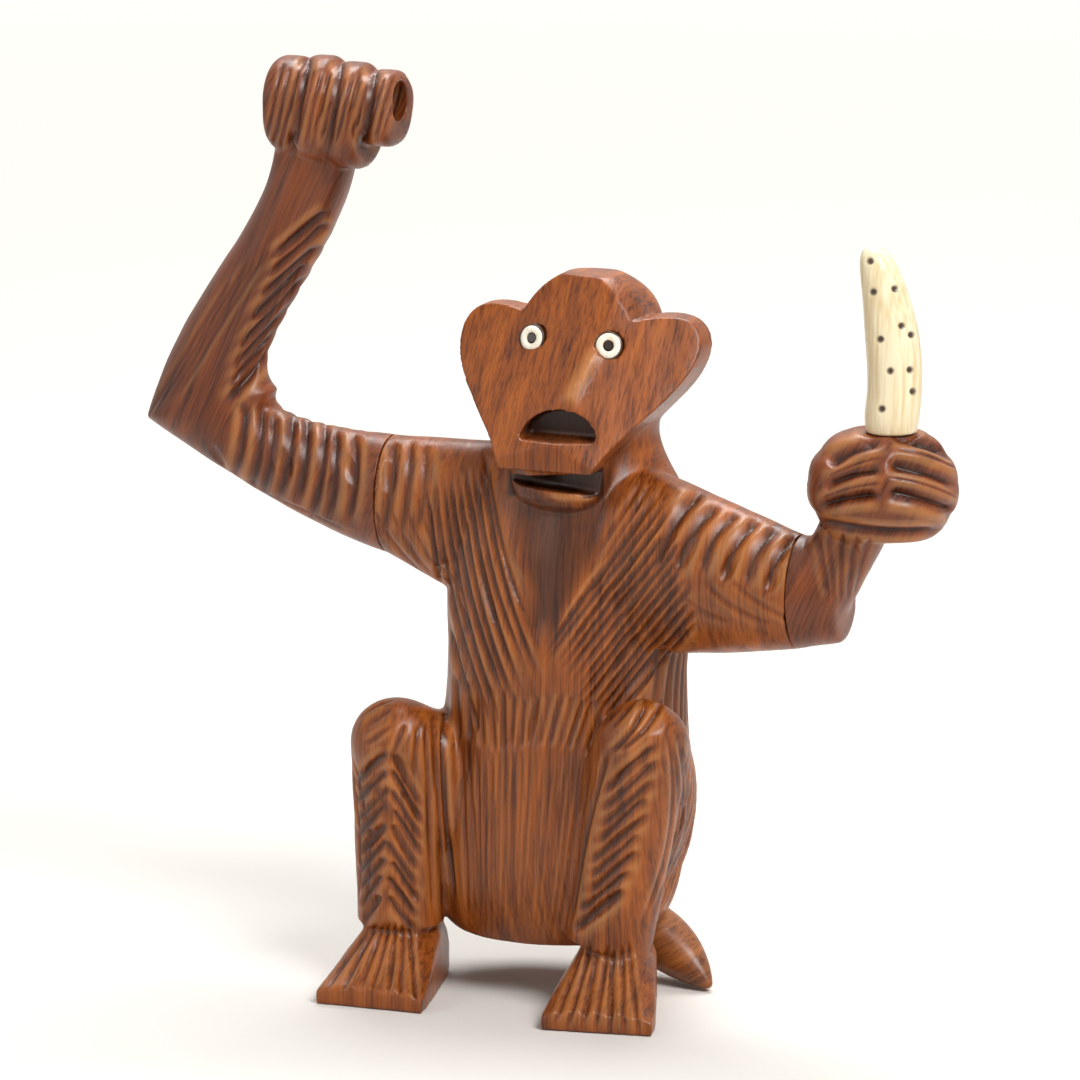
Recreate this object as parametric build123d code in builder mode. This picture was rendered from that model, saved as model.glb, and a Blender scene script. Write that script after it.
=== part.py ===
"""Carved rosewood monkey, squatting, one fist bored to hang from a twig, the other holding a banana.

Frame: +Z is up, the monkey faces -Y and its own left is +X. The origin is the middle of the
figure's footprint, on the surface that its soles and tail tip stand on. Sizes are in millimetres.
"""
import os
from math import cos, radians, sin

from build123d import *

os.makedirs("parts", exist_ok=True)

# Where the middle of the feet stands in the footprint of the whole figure
stance_x = -1.6
stance_y = -2.5

# Torso, one block from the seat to the neck, leaning a little to the figure's left
torso_height = 88.0
torso_width = 41.0
torso_depth = 33.0
torso_lean = 5.0
torso_set_back = 9.0
# Height, lean, set back, width and depth of each section
torso_shares = (
    (0.098, 0.15, 0.90, 0.72, 0.72),
    (0.150, 0.25, 0.92, 0.93, 0.89),
    (0.330, 0.50, 0.96, 1.00, 1.00),
    (0.550, 0.70, 1.00, 0.93, 0.91),
    (0.700, 0.80, 1.00, 0.96, 0.88),
    (0.820, 0.92, 1.06, 0.94, 0.82),
    (0.910, 1.00, 1.15, 0.76, 0.72),
    (1.040, 1.10, 1.20, 0.66, 0.62),
)

# Head, a rounded skull with a face plate that runs out into the ears
head_lean = 5.7
head_set_back = 10.0
chin_height = 76.0
head_height = 34.9
skull_width = 24.0
skull_depth = 30.0
skull_round_share = 0.40
# Height, width, front and back of each section
skull_shares = (
    (0.00, 0.50, -0.37, 0.20),
    (0.08, 0.64, -0.48, 0.27),
    (0.22, 0.68, -0.51, 0.32),
    (0.34, 0.76, -0.51, 0.37),
    (0.48, 0.92, -0.47, 0.42),
    (0.70, 0.95, -0.34, 0.46),
    (0.84, 0.82, -0.22, 0.45),
    (0.95, 0.58, -0.10, 0.36),
    (1.00, 0.34, -0.02, 0.27),
)
plate_width = 39.2
plate_front = 16.0
plate_back = 4.0
# Half width and height of the edge of the face plate, from the top of an ear to the jaw
plate_shares = (
    (0.21, 0.825),
    (0.38, 0.850),
    (0.47, 0.812),
    (0.50, 0.735),
    (0.47, 0.610),
    (0.39, 0.490),
    (0.30, 0.385),
    (0.23, 0.290),
    (0.19, 0.215),
)
# Ridge of the nose, from the brow down to the tip, bevelled
brow_shift = 3.4
brow_reach = 7.0
brow_share = 0.73
nose_shift = 1.8
nose_reach = 12.5
nose_share = 0.495
ear_reach = 1.5
ridge_bevel = 0.35

# Nostril arch and mouth, cut into the muzzle
nostril_width = 12.0
nostril_height = 4.4
nostril_depth = 5.2
nostril_shift = 1.2
nostril_share = 0.345
mouth_width = 15.6
mouth_height = 3.8
mouth_corner_height = 0.8
mouth_slant = 1.3
mouth_depth = 3.6
mouth_share = 0.110

# Eyes, a ring and a pupil set in a drilled socket on each side of the face
eye_radius = 2.1
eye_depth = 1.8
eye_proud = 0.35
eye_edge_share = 0.8
pupil_radius = 0.65
eye_spread = 6.5
eye_share = 0.735
eye_yaw = 9.0
eye_pitch = 14.0
inlay_clearance = 0.02
# How far a cut runs past the face that it opens
cut_over = 1.0

# Legs, squatting, and feet with flat soles
hip_spread = 13.4
hip_set_back = 9.5
hip_height = 24.5
hip_radius = 14.0
hip_half_width = 9.8
knee_set_back = -5.5
knee_radius = 6.6
knee_half_width = 7.3
# Distance from the hip to the knee, width and height of each section of a thigh
thigh_shares = (
    (-0.42, 0.36, 0.36),
    (-0.26, 0.76, 0.74),
    (0.00, 1.00, 1.00),
    (0.40, 0.98, 0.88),
    (0.75, 0.86, 0.68),
    (1.00, 0.76, 0.53),
    (1.13, 0.68, 0.46),
    (1.24, 0.52, 0.34),
    (1.31, 0.28, 0.18),
)
ankle_set_back = -4.0
ankle_height = 10.5
ankle_radius = 5.6
ankle_half_width = 7.0
foot_length = 25.4
foot_width = 17.6
foot_height = 13.0
heel_set_back = 7.4
foot_edge_share = 0.62
foot_crown_share = 0.60
toe_count = 5
# Distance from the heel, spread and height of both ends of a groove between toes
toe_groove_shares = (
    (0.66, 0.86, 0.742),
    (1.12, 1.04, 0.150),
)
# Side, knee spread, knee height, ankle spread, heel spread and splay of each leg
leg_places = (
    (-1, 18.8, 39.2, 18.9, 19.4, -2.0),
    (1, 21.6, 42.2, 15.4, 14.6, 9.5),
)
# Distance from the heel, width and height of each section of a foot
foot_shares = (
    (0.00, 0.44, 0.55),
    (0.18, 0.60, 0.95),
    (0.40, 0.72, 1.00),
    (0.62, 0.84, 0.76),
    (0.85, 0.97, 0.42),
    (1.00, 1.00, 0.26),
)

# Raised right arm, one piece from the shoulder joint to the fist
shoulder_reach = 25.2
shoulder_height = 75.0
shoulder_half_height = 9.3
shoulder_half_depth = 7.6
arm_set_back = 8.0
arm_half_depth = 6.4
arm_waist_reach = 40.2
arm_waist_height = 78.2
arm_waist_half = 7.5
elbow_reach = 55.5
elbow_height = 87.0
elbow_half = 11.3
elbow_slant = 14.6
forearm_reach = 47.5
forearm_height = 106.8
forearm_half = 6.4
forearm_slant = -24.0
wrist_reach = 38.9
wrist_height = 122.6
wrist_half = 6.4
wrist_slant = -10.0
wrist_shift = 1.4

# Raised fist, four fingers side by side, bored through for a twig
fist_width = 20.6
fist_depth = 15.0
fist_height = 17.2
fist_reach = 33.0
fist_base_height = 125.8
fist_set_back = 6.2
finger_groove = 0.9
finger_round_share = 0.47
grip_radius = 2.9
grip_slope = 12.0
grip_height_share = 0.51
# Underside, top and depth of each finger, as parts of the fist's size
finger_shares = (
    (0.12, 0.98, 0.94),
    (0.02, 1.00, 1.00),
    (0.00, 0.96, 0.98),
    (0.22, 0.90, 0.86),
)

# Left arm: the upper arm belongs to the torso, the forearm is jointed on at the elbow
left_root_reach = 10.0
left_root_height = 69.0
left_root_half_height = 15.6
left_root_half_depth = 11.5
left_mid_reach = 29.5
left_mid_height = 67.6
left_mid_half_height = 12.1
left_mid_half_depth = 9.4
left_joint_reach = 44.4
left_joint_height = 66.9
left_joint_half_height = 8.8
left_joint_half_depth = 7.0
left_joint_set_back = 1.0
left_elbow_length = 7.4
left_elbow_share = 0.82
left_wrist_run = 8.0
left_wrist_rise = 10.6
left_wrist_reach = left_joint_reach + left_wrist_run
left_wrist_height = left_joint_height + left_wrist_rise
left_wrist_half = 6.4
left_wrist_root_share = 0.40
left_wrist_root_half_share = 0.90

# Left fist, fingers stacked round an upright bore
left_fist_run = 13.1
left_fist_rise = 10.3
left_fist_reach = left_joint_reach + left_fist_run
left_fist_width = 23.6
left_fist_depth = 19.4
left_fist_height = 15.4
left_fist_base_height = left_joint_height + left_fist_rise
left_fist_round_share = 0.49
fist_top = left_fist_base_height + left_fist_height
# Width of each finger, from the lowest up
left_finger_shares = (0.78, 1.00, 0.99, 0.80)

# Banana, with a straight peg that stands in the left fist
banana_shift = 1.2
banana_reach = left_fist_reach + banana_shift
banana_height = 27.6
banana_radius = 4.1
banana_bend = 3.0
peg_radius = 3.0
peg_length = 11.0
peg_clearance = 0.05
peg_end_room = 0.5
seat_clearance = 0.05
# Height, bend and radius of each section
banana_shares = (
    (0.00, 0.00, 0.94),
    (0.20, -0.12, 1.00),
    (0.45, -0.05, 1.00),
    (0.68, 0.26, 0.90),
    (0.86, 0.66, 0.74),
    (0.97, 0.94, 0.50),
    (1.00, 1.00, 0.22),
)

# Tail, a curved peg with a straight tenon in the rump
tail_radius = 4.7
tail_tenon_radius = 3.2
tail_tenon_length = 7.0
tail_lean = 30.0
tail_root = (12.5, 15.5, 9.4)
tail_reach = (14.2, -5.0, -8.7)
# Distance along x, y and z of the tail's reach, and radius, of each section
tail_shares = (
    (0.00, 0.00, 0.00, 1.00),
    (0.32, 0.20, 0.32, 0.96),
    (0.62, 0.48, 0.60, 0.78),
    (0.87, 0.82, 0.84, 0.42),
    (1.00, 1.00, 0.99, 0.12),
)

# Dowels in the two glued arm joints
dowel_radius = 2.5
shoulder_dowel_length = 18.0
elbow_dowel_length = 12.0
dowel_clearance = 0.05
dowel_end_room = 0.4
dowel_chamfer = 0.5

# Gouge strokes of the fur, each a hollow that tapers to its ends
gouge_radius = 1.25
gouge_depth = 0.62
gouge_start = 200.0
# Turn of the side that a row of strokes is cut from, then, as parts of the torso's height, the
# middle of the first and of the last stroke and the run of each, across and up; last, their number
body_fur_shares = (
    (22, -0.12, 0.70, -0.02, 0.76, 0.09, -0.28, 3),
    (22, 0.13, 0.76, 0.22, 0.60, -0.15, -0.19, 4),
    (22, -0.09, 0.51, 0.12, 0.50, 0.00, -0.12, 3),
    (22, 0.28, 0.83, 0.42, 0.79, -0.06, -0.10, 3),
    (22, -0.24, 0.90, -0.16, 0.88, 0.00, -0.09, 2),
    (22, -0.266, 0.405, -0.268, 0.166, -0.06, -0.06, 3),
    (22, -0.203, 0.405, -0.216, 0.166, 0.05, -0.08, 3),
    (22, 0.19, 0.454, 0.132, 0.20, 0.09, 0.08, 3),
    (180, -0.17, 0.57, 0.08, 0.57, 0.00, -0.50, 6),
    (100, -0.05, 0.32, 0.14, 0.30, 0.02, -0.24, 3),
    (-80, 0.00, 0.31, -0.19, 0.30, -0.02, -0.24, 3),
)
arm_fur_shares = (
    (22, -0.54, 0.90, -0.31, 0.91, 0.04, -0.10, 3),
    (22, -0.386, 1.31, -0.473, 1.065, -0.10, -0.10, 3),
    (180, 0.31, 0.87, 0.59, 0.95, 0.00, -0.14, 4),
    (180, 0.62, 1.07, 0.42, 1.35, -0.12, -0.05, 3),
)


def placed(x, y, z):
    """Return a point given from the middle of the feet in the figure's own frame."""
    return Vector(stance_x + x, stance_y + y, z)


def across(x, y, z, lean=0.0):
    """Return a plane across a limb, local x along Y, facing up at a lean of 0."""
    slant = radians(lean)
    return Plane(origin=placed(x, y, z), x_dir=(0, 1, 0), z_dir=(-sin(slant), 0, cos(slant)))


def sideways(x, y, z):
    """Return a plane across a limb that runs along X, facing +X."""
    return Plane(origin=placed(x, y, z), x_dir=(0, 1, 0), z_dir=(1, 0, 0))


def in_head(x, y, share):
    """Return a point of the head, its height a share of the way from the chin to the crown."""
    return placed(head_lean + x, head_set_back + y, chin_height + head_height * share)


def facing(origin):
    """Return an upright plane that faces the front, local x to the figure's left."""
    return Plane(origin=origin, x_dir=(1, 0, 0), z_dir=(0, -1, 0))


def face_plane(side):
    """Return the plane of one side of the face, through the ridge of the nose and an ear."""
    brow = in_head(brow_shift, -brow_reach, brow_share)
    nose = in_head(nose_shift, -nose_reach, nose_share)
    ear = in_head(side * plate_width / 2, -ear_reach, brow_share)
    return Plane(origin=brow, x_dir=ear - brow, z_dir=(nose - brow).cross(ear - brow) * side)


def eye_plane(side):
    """Return the plane that an eye is let into, on the face, side +1 for the figure's left."""
    face = face_plane(side)
    place = in_head(side * eye_spread, 0, eye_share)
    slope = face.z_dir.X * (place.X - face.origin.X) + face.z_dir.Z * (place.Z - face.origin.Z)
    place.Y = face.origin.Y - slope / face.z_dir.Y
    yaw = radians(side * eye_yaw)
    pitch = radians(eye_pitch)
    outward = (sin(yaw) * cos(pitch), -cos(yaw) * cos(pitch), sin(pitch))
    return Plane(origin=place, x_dir=(cos(yaw), sin(yaw), 0), z_dir=outward)


def gouge_stroke(start, end):
    """Return the hollow of one stroke, from the start to the end of its axis."""
    run = end - start
    middle = (start + end) / 2
    aside = Plane(origin=middle, z_dir=run).x_dir
    half = run.length / 2
    with BuildPart() as hollow:
        with BuildSketch(Plane(origin=middle, x_dir=run, z_dir=aside)):
            with BuildLine():
                EllipticalCenterArc((0, 0), half, gouge_radius, start_angle=0, arc_size=180)
                Line((-half, 0), (half, 0))
            make_face()
        revolve(axis=Axis(middle, run))
    return hollow.part


def fur_strokes(solid, rows):
    """Return the hollows of rows of strokes, each laid along the surface that it meets first."""
    hollows = []
    for turn, first_x, first_z, last_x, last_z, run_x, run_z, count in rows:
        right = Vector(cos(radians(turn)), sin(radians(turn)), 0)
        toward = Vector(sin(radians(turn)), -cos(radians(turn)), 0)
        for index in range(count):
            part_way = index / (count - 1)
            aside = torso_height * (first_x + (last_x - first_x) * part_way)
            height = torso_height * (first_z + (last_z - first_z) * part_way)
            sight = placed(0, 0, height) + right * aside + toward * gouge_start
            met = solid.find_intersection_points(Axis(sight, -toward))
            for point, outward in met[:1]:
                level = (right.dot(outward) * run_x + outward.Z * run_z) / toward.dot(outward)
                half = (right * run_x - toward * level + Vector(0, 0, run_z)) * torso_height / 2
                middle = point + outward * (gouge_radius - gouge_depth)
                hollows.append(gouge_stroke(middle - half, middle + half))
    return hollows


# Tail
tail_at = placed(*tail_root)
tail_points = [
    tail_at + Vector(*(share * reach for share, reach in zip(row[:3], tail_reach)))
    for row in tail_shares
]
tenon_axis = Vector(cos(radians(tail_lean)), sin(radians(tail_lean)), 0)
with BuildPart() as tail:
    for index, row in enumerate(tail_shares):
        before = tail_points[max(index - 1, 0)]
        after = tail_points[min(index + 1, len(tail_points) - 1)]
        along = tenon_axis if index == 0 else after - before
        with BuildSketch(Plane(origin=tail_points[index], x_dir=(0, 0, 1), z_dir=along)):
            Circle(tail_radius * row[3])
    loft()
    with BuildSketch(Plane(origin=tail_at, z_dir=-tenon_axis)):
        Circle(tail_tenon_radius)
    extrude(amount=tail_tenon_length)
tail.part.label = "tail"

# Joint planes of the arms, square to the dowels
shoulder_joint = sideways(-shoulder_reach, arm_set_back, shoulder_height)
elbow_joint = sideways(left_joint_reach, left_joint_set_back, left_joint_height)

# Body: head, torso, shoulders, legs and feet carved from one block
with BuildPart() as body:
    # Skull, rounded, from the chin to the crown
    for height, width, front, back in skull_shares:
        middle = in_head(0, skull_depth * (front + back) / 2, height)
        wide = skull_width * width
        deep = skull_depth * (back - front)
        with BuildSketch(Plane(origin=middle)):
            RectangleRounded(wide, deep, min(wide, deep) * skull_round_share)
    loft()

    # Face plate, with the ears at its upper corners
    with BuildSketch(facing(in_head(0, -plate_front, 0))):
        edge = [(plate_width * width, head_height * height) for width, height in plate_shares]
        mirrored = [(-x, y) for x, y in edge]
        with BuildLine():
            Spline(*edge)
            Spline(*mirrored)
            Line(edge[0], mirrored[0])
            Line(edge[-1], mirrored[-1])
        make_face()
    extrude(amount=-plate_front - plate_back)

    # The two sides of the face, cut flat, and the bevelled ridge between them
    for side in (-1, 1):
        split(bisect_by=face_plane(side), keep=Keep.BOTTOM)
    left_face = face_plane(1)
    right_face = face_plane(-1)
    ridge_normal = (left_face.z_dir + right_face.z_dir).normalized()
    ridge_plane = Plane(origin=left_face.origin - ridge_normal * ridge_bevel, z_dir=ridge_normal)
    split(bisect_by=ridge_plane, keep=Keep.BOTTOM)

    # Nostril arch and mouth
    with BuildSketch(facing(in_head(nostril_shift, -skull_depth, nostril_share))):
        Ellipse(nostril_width / 2, nostril_height)
        split(bisect_by=Plane.XZ, keep=Keep.BOTTOM)
    extrude(amount=-skull_depth / 2 - nostril_depth, mode=Mode.SUBTRACT)
    with BuildSketch(facing(in_head(0, -skull_depth, mouth_share))):
        with BuildLine():
            Polyline(
                (-mouth_width / 2, mouth_slant),
                (mouth_width / 2, 0),
                (mouth_width / 2, mouth_height),
                (-mouth_width / 2, mouth_slant + mouth_corner_height),
                close=True,
            )
        make_face()
    extrude(amount=-skull_depth / 2 - mouth_depth, mode=Mode.SUBTRACT)

    # Torso
    for height, lean, back, width, depth in torso_shares:
        middle = placed(torso_lean * lean, torso_set_back * back, torso_height * height)
        with BuildSketch(Plane(origin=middle)):
            Ellipse(torso_width * width / 2, torso_depth * depth / 2)
    loft()

    # Right shoulder, out to the glued joint
    with BuildSketch(sideways(0, torso_set_back, left_root_height)):
        Ellipse(shoulder_half_depth, left_root_half_height)
    with BuildSketch(shoulder_joint):
        Ellipse(shoulder_half_depth, shoulder_half_height)
    loft()

    # Left upper arm, out to the elbow joint
    with BuildSketch(sideways(left_root_reach, torso_set_back, left_root_height)):
        Ellipse(left_root_half_depth, left_root_half_height)
    with BuildSketch(sideways(left_mid_reach, arm_set_back / 2, left_mid_height)):
        Ellipse(left_mid_half_depth, left_mid_half_height)
    with BuildSketch(elbow_joint):
        Ellipse(left_joint_half_depth, left_joint_half_height)
    loft()

    # Legs, the thigh up from the seat to the knee and the shin down to the ankle
    for side, knee_spread, knee_height, ankle_spread, heel_spread, splay in leg_places:
        hip = placed(side * hip_spread, hip_set_back, hip_height)
        knee = placed(side * knee_spread, knee_set_back, knee_height)
        ankle = placed(side * ankle_spread, ankle_set_back, ankle_height)
        for distance, width, height in thigh_shares:
            middle = hip + (knee - hip) * distance
            with BuildSketch(Plane(origin=middle, x_dir=(1, 0, 0), z_dir=knee - hip)):
                Ellipse(hip_half_width * width, hip_radius * height)
        loft()
        with BuildSketch(Plane(origin=knee, x_dir=(1, 0, 0), z_dir=ankle - knee)):
            Ellipse(knee_half_width, knee_radius)
        with BuildSketch(Plane(origin=ankle, x_dir=(1, 0, 0), z_dir=ankle - knee)):
            Ellipse(ankle_half_width, ankle_radius)
        loft()

    # Feet
    for side, knee_spread, knee_height, ankle_spread, heel_spread, splay in leg_places:
        turn = radians(side * splay)
        heading = Vector(sin(turn), -cos(turn), 0)
        sole_across = Vector(cos(turn), sin(turn), 0)
        heel = placed(side * heel_spread, heel_set_back, 0)
        for distance, width, height in foot_shares:
            middle = heel + heading * foot_length * distance
            half = foot_width * width / 2
            top = foot_height * height
            with BuildSketch(Plane(origin=middle, x_dir=sole_across, z_dir=heading)):
                with BuildLine():
                    Polyline(
                        (-half, 0),
                        (half, 0),
                        (half, top * foot_edge_share),
                        (half * foot_crown_share, top),
                        (-half * foot_crown_share, top),
                        (-half, top * foot_edge_share),
                        close=True,
                    )
                make_face()
        loft(ruled=True)

        # Grooves between the toes, down the slope of the foot
        for groove in range(1, toe_count):
            place = foot_width * groove / toe_count - foot_width / 2
            root, tip = (
                heel
                + heading * foot_length * distance
                + sole_across * place * spread
                + Vector(0, 0, foot_height * height)
                for distance, spread, height in toe_groove_shares
            )
            add(gouge_stroke(root, tip), mode=Mode.SUBTRACT)

    # Eye sockets
    for side in (-1, 1):
        with BuildSketch(eye_plane(side).offset(eye_proud)):
            Circle(eye_radius + inlay_clearance)
        extrude(amount=-eye_depth - eye_proud, mode=Mode.SUBTRACT)

    # Dowel holes, half of each dowel in the body
    for joint, length, inward in (
        (shoulder_joint, shoulder_dowel_length, 1),
        (elbow_joint, elbow_dowel_length, -1),
    ):
        with BuildSketch(joint):
            Circle(dowel_radius + dowel_clearance)
        extrude(amount=inward * (length / 2 + dowel_end_room), mode=Mode.SUBTRACT)

    # Socket of the tail
    add(tail.part, mode=Mode.SUBTRACT)

    # Main gouge strokes of the fur
    add(fur_strokes(body.part, body_fur_shares), mode=Mode.SUBTRACT)
body.part.label = "body"

# Raised arm: upper arm, mitred elbow, forearm and fist
with BuildPart() as right_arm:
    with BuildSketch(shoulder_joint):
        Ellipse(shoulder_half_depth, shoulder_half_height)
    with BuildSketch(sideways(-arm_waist_reach, arm_set_back, arm_waist_height)):
        Ellipse(arm_half_depth, arm_waist_half)
    with BuildSketch(across(-elbow_reach, arm_set_back, elbow_height, elbow_slant - 180)):
        Ellipse(arm_half_depth, elbow_half)
    loft()
    for reach, height, half, slant in (
        (elbow_reach, elbow_height, elbow_half, elbow_slant),
        (forearm_reach, forearm_height, forearm_half, forearm_slant),
        (wrist_reach, wrist_height, wrist_half, wrist_slant),
        (wrist_reach - wrist_shift, fist_base_height + fist_height / 2, wrist_half, 0),
    ):
        with BuildSketch(across(-reach, arm_set_back, height, slant)):
            Ellipse(arm_half_depth, half)
    loft()

    # Fist, a groove at each side of every finger
    finger_width = fist_width / len(finger_shares)
    for finger, (under, top, deep_share) in enumerate(finger_shares):
        base = fist_base_height + fist_height * under
        for inset, shift in (
            (finger_groove, 0),
            (0, finger_groove),
            (0, finger_width - finger_groove),
            (finger_groove, finger_width),
        ):
            reach = fist_reach + fist_width / 2 - finger * finger_width - shift
            deep = fist_depth * deep_share - 2 * inset
            tall = fist_height * (top - under) - 2 * inset
            with BuildSketch(sideways(-reach, fist_set_back, base + tall / 2 + inset)):
                RectangleRounded(deep, tall, min(deep, tall) * finger_round_share)
        loft(ruled=True)

    # Bore for the twig
    slope = radians(grip_slope)
    grip_axis = Vector(cos(slope), 0, sin(slope))
    grip_centre = placed(-fist_reach, fist_set_back, fist_base_height + fist_height * grip_height_share)
    with BuildSketch(Plane(origin=grip_centre, x_dir=(0, 1, 0), z_dir=grip_axis)):
        Circle(grip_radius)
    extrude(amount=fist_width / 2 + cut_over, both=True, mode=Mode.SUBTRACT)

    # Dowel hole
    with BuildSketch(shoulder_joint):
        Circle(dowel_radius + dowel_clearance)
    extrude(amount=-shoulder_dowel_length / 2 - dowel_end_room, mode=Mode.SUBTRACT)

    # Main gouge strokes of the fur
    add(fur_strokes(right_arm.part, arm_fur_shares), mode=Mode.SUBTRACT)
right_arm.part.label = "right_arm"

# Left forearm: elbow, wrist and fist
with BuildPart() as left_forearm:
    with BuildSketch(elbow_joint):
        Ellipse(left_joint_half_depth, left_joint_half_height)
    elbow_end = left_joint_reach + left_elbow_length
    with BuildSketch(sideways(elbow_end, left_joint_set_back, left_joint_height)):
        Ellipse(left_joint_half_depth * left_elbow_share, left_joint_half_height * left_elbow_share)
    loft()
    wrist_root_reach = left_joint_reach + left_elbow_length / 2
    wrist_root_height = left_joint_height - left_joint_half_height * left_wrist_root_share
    wrist_root_half = left_elbow_length / 2 * left_wrist_root_half_share
    for reach, height, half in (
        (wrist_root_reach, wrist_root_height, wrist_root_half),
        (left_wrist_reach, left_wrist_height, left_wrist_half),
    ):
        with BuildSketch(across(reach, left_joint_set_back, height)):
            Ellipse(left_joint_half_depth * left_elbow_share, half)
    loft()

    finger_tall = left_fist_height / len(left_finger_shares)
    for finger, share in enumerate(left_finger_shares):
        for inset, shift in (
            (finger_groove, 0),
            (0, finger_groove),
            (0, finger_tall - finger_groove),
            (finger_groove, finger_tall),
        ):
            height = left_fist_base_height + finger * finger_tall + shift
            wide = left_fist_width * share - 2 * inset
            deep = left_fist_depth * share - 2 * inset
            with BuildSketch(across(left_fist_reach, left_joint_set_back, height)):
                RectangleRounded(deep, wide, deep * left_fist_round_share)
        loft(ruled=True)

    # Bore for the banana's peg
    with BuildSketch(Plane(origin=placed(banana_reach, left_joint_set_back, fist_top))):
        Circle(peg_radius + peg_clearance)
    extrude(amount=-peg_length - peg_end_room, mode=Mode.SUBTRACT)

    # Dowel hole
    with BuildSketch(elbow_joint):
        Circle(dowel_radius + dowel_clearance)
    extrude(amount=elbow_dowel_length / 2 + dowel_end_room, mode=Mode.SUBTRACT)
left_forearm.part.label = "left_forearm"

# Banana, curved above and straight where the peg goes into the fist
banana_base = fist_top + seat_clearance
with BuildPart() as banana:
    for height, bend, radius in banana_shares:
        middle = placed(
            banana_reach - banana_bend * bend,
            left_joint_set_back,
            banana_base + banana_height * height,
        )
        with BuildSketch(Plane(origin=middle)):
            Circle(banana_radius * radius)
    loft()
    with BuildSketch(Plane(origin=placed(banana_reach, left_joint_set_back, banana_base))):
        Circle(peg_radius)
    extrude(amount=-peg_length)
banana.part.label = "banana"

# Eyes
eye_parts = []
for side, name in ((-1, "right"), (1, "left")):
    with BuildPart() as eye_ring:
        with BuildSketch(eye_plane(side).offset(eye_proud)):
            Circle(eye_radius)
            Circle(pupil_radius + inlay_clearance, mode=Mode.SUBTRACT)
        extrude(amount=-eye_depth - eye_proud)
        face_edges = eye_ring.edges().filter_by(GeomType.CIRCLE).sort_by(Axis.Y)[0:2]
        chamfer(face_edges, eye_proud * eye_edge_share)
    eye_ring.part.label = "eye_ring_" + name
    with BuildPart() as pupil:
        with BuildSketch(eye_plane(side).offset(eye_proud)):
            Circle(pupil_radius)
        extrude(amount=-eye_depth - eye_proud)
    pupil.part.label = "pupil_" + name
    eye_parts += [eye_ring, pupil]

# Dowels
with BuildPart() as shoulder_dowel:
    with BuildSketch(shoulder_joint):
        Circle(dowel_radius)
    extrude(amount=shoulder_dowel_length / 2, both=True)
    chamfer(shoulder_dowel.edges().filter_by(GeomType.CIRCLE), dowel_chamfer)
shoulder_dowel.part.label = "shoulder_dowel"

with BuildPart() as elbow_dowel:
    with BuildSketch(elbow_joint):
        Circle(dowel_radius)
    extrude(amount=elbow_dowel_length / 2, both=True)
    chamfer(elbow_dowel.edges().filter_by(GeomType.CIRCLE), dowel_chamfer)
elbow_dowel.part.label = "elbow_dowel"

pieces = [body, right_arm, left_forearm, banana, tail, shoulder_dowel, elbow_dowel] + eye_parts
for piece in pieces:
    export_step(piece.part, "parts/" + piece.part.label + ".step")
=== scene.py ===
"""Dresses the carved monkey: rosewood cut stroke by stroke, inlaid bone eyes and a bone banana.

A name that ends in _mm holds millimetres, and every other length is in metres. Strokes are placed in
a plane square to the side that they are cut from, in millimetres from the middle of the feet.
"""
import logging
import math
import random
from dataclasses import dataclass
from enum import Enum

import bmesh
import bpy
import numpy as np
from bpy.types import Material, Mesh, Node, NodeSocket, NodeTree, Object
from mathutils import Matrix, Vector, noise


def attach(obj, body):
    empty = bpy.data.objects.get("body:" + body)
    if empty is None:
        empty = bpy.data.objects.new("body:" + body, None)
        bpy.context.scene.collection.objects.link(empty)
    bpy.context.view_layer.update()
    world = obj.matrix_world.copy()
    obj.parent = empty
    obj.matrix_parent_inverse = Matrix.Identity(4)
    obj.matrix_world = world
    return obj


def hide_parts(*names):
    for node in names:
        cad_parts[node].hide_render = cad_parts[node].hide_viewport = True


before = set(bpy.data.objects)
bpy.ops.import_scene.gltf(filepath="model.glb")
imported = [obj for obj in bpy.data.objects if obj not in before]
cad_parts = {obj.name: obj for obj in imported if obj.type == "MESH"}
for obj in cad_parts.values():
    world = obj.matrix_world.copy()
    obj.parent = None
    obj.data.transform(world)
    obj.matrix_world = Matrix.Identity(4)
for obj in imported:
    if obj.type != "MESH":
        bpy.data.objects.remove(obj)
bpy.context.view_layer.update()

Pair = tuple[float, float]
Triple = tuple[float, float, float]
# Where a stroke starts and where it ends, each across and up in the plane of its side
Line = tuple[float, float, float, float]

MM = 0.001
# The middle of the feet in the frame, from which strokes are placed
FEET_MIDDLE_MM = np.array((-1.6, -2.5, 0.0))
# Points of a mesh that are closer than this are one point
WELD_MM = 0.001
# How often the faces of a ball that levels a hollow are split
BALL_SPLITS = 2
# Name of the attribute that holds painted light: 1 for full painted shade in a valley or a hollow of the
# face,
# 0 for painted highlight with wear on a ridge between strokes, and the plain value where nothing is
# painted.
# On the banana it holds the spots' own dark colour, and on an eye ring the glue line painted as shade
SPOTS_AND_PAINTED_LIGHT = "hollow"
PLAIN = 0.3
# The pale background, which the floor fades to
BACKGROUND = "#f4f2ee"
# Sockets of a Mix node that mixes colours: the second colour's share, both colours, and the result
SHARE, FIRST, SECOND, MIXED = 0, 6, 7, 2

log = logging.getLogger("monkey")


class Grain(Enum):
    """The way the grain runs in a piece, as a turn about the Y axis in degrees from upright."""

    UPRIGHT = 0.0
    ALONG_FOREARM = 24.0
    ALONG_TAIL = 56.0


def linear(colour: str) -> tuple[float, float, float, float]:
    """Turns an sRGB hex colour to linear.

    Args:
        colour: six hex digits after a hash.

    Returns:
        The linear colour with an alpha of one.
    """
    parts = [int(colour[i : i + 2], 16) / 255 for i in (1, 3, 5)]
    turned = [p / 12.92 if p <= 0.04045 else ((p + 0.055) / 1.055) ** 2.4 for p in parts]
    return (*turned, 1.0)


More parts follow.
